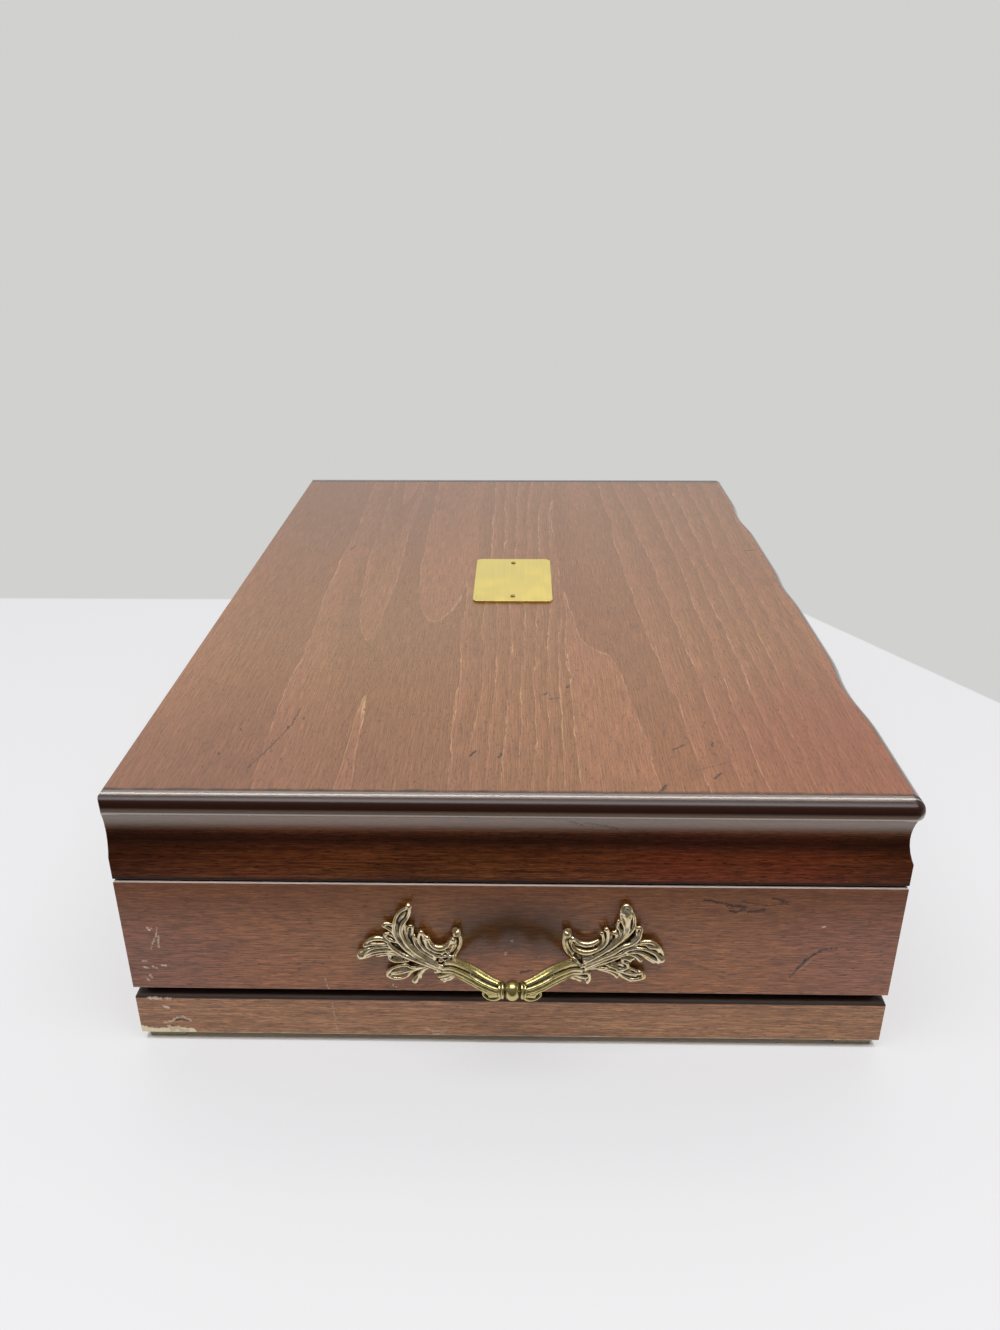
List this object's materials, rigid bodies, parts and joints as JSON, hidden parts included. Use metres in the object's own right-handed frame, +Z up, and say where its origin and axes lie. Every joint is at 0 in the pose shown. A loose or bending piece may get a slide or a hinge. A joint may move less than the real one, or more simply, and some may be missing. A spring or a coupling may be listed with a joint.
{
  "type": "silverware chest",
  "caption": "Wooden silverware chest with a hinged moulded lid, serpentine front, base frame and cast end pulls.",
  "frame": {"origin": "middle of the overall outline, on the table under the felt pads", "axes": "+X along the length, +Z up, the front where the lid opens faces -Y and the hinges are at +Y"},
  "size_m": [0.4912, 0.3128, 0.12],
  "materials": {
    "case_wood": "stained hardwood under gloss lacquer",
    "top_wood": "flat-sawn stained board under satin lacquer",
    "raw_wood": "unfinished softwood",
    "felt": "pressed felt",
    "cast_brass": "cast, antiqued dark in the hollows",
    "plate_brass": "satin sheet",
    "hinge_brass": "stamped sheet",
    "screw_steel": "zinc plated",
    "lining_cloth": "brown napped cloth"
  },
  "bodies": {
    "box": {"base_front": "case_wood", "base_back": "case_wood", "base_left": "case_wood", "base_right": "case_wood", "box_front": "case_wood", "box_back": "case_wood", "box_left_end": "case_wood", "box_right_end": "case_wood", "bottom_panel": "case_wood", "base_corner_blocks": "raw_wood", "felt_pads": "felt", "left_handle": "cast_brass", "right_handle": "cast_brass", "hinge_box_leaves": "hinge_brass", "hinge_pins": "hinge_brass", "hinge_box_screws": "hinge_brass", "handle_screws": "screw_steel", "box_lining": "lining_cloth", "rear_stack_rack": "lining_cloth", "front_stack_rack": "lining_cloth", "tray_divider": "lining_cloth"},
    "lid": {"lid_panel": "top_wood", "lid_front_rail": "case_wood", "lid_back_rail": "case_wood", "lid_left_rail": "case_wood", "lid_right_rail": "case_wood", "nameplate": "plate_brass", "nameplate_pins": "plate_brass", "hinge_lid_leaves": "hinge_brass", "hinge_lid_screws": "hinge_brass", "lid_lining": "lining_cloth", "knife_blade_rack": "lining_cloth", "knife_handle_rest": "lining_cloth"}
  },
  "joints": [
    {"name": "lid_hinge", "type": "hinge", "parent": "box", "child": "lid", "pos_m": [0, 0.1529, 0.0813], "axis": [-1, 0, 0], "range_deg": [0, 95]}
  ]
}
